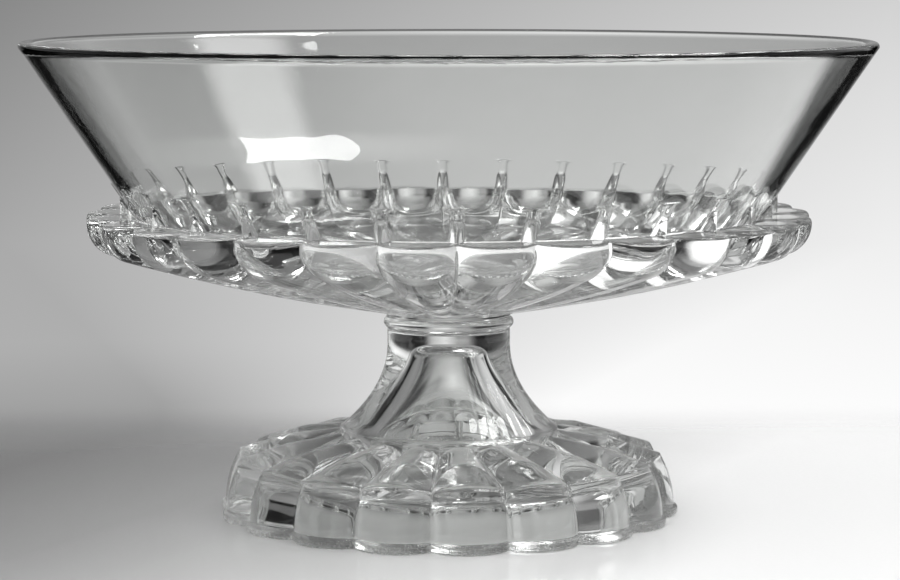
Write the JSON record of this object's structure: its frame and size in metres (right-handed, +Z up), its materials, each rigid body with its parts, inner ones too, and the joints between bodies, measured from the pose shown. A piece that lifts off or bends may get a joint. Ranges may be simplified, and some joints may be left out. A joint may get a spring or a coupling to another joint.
{
  "type": "footed compote bowl",
  "caption": "Clear pressed-glass serving bowl with a smooth flaring wall, ridged band and scalloped shelf, on a hollow bell stem with a lobed ribbed foot.",
  "frame": {"origin": "centre of the foot on the surface that it stands on", "axes": "+Z up along the axis of the stem, -Y towards the front, +X to the right as seen from the front"},
  "size_m": [0.24, 0.24, 0.134],
  "materials": {
    "bowl_glass": "colourless soda-lime glass, pressed in a mould and fire-polished to a high gloss, rim ground round and polished",
    "wafer_glass": "colourless soda-lime glass, a hot gather squeezed between bowl and stem, glossy with a bulged edge",
    "foot_glass": "colourless soda-lime glass, pressed hollow in a mould and fire-polished to a high gloss"
  },
  "bodies": {
    "root": {"bowl": "bowl_glass", "joining_wafer": "wafer_glass", "foot": "foot_glass"}
  },
  "joints": []
}
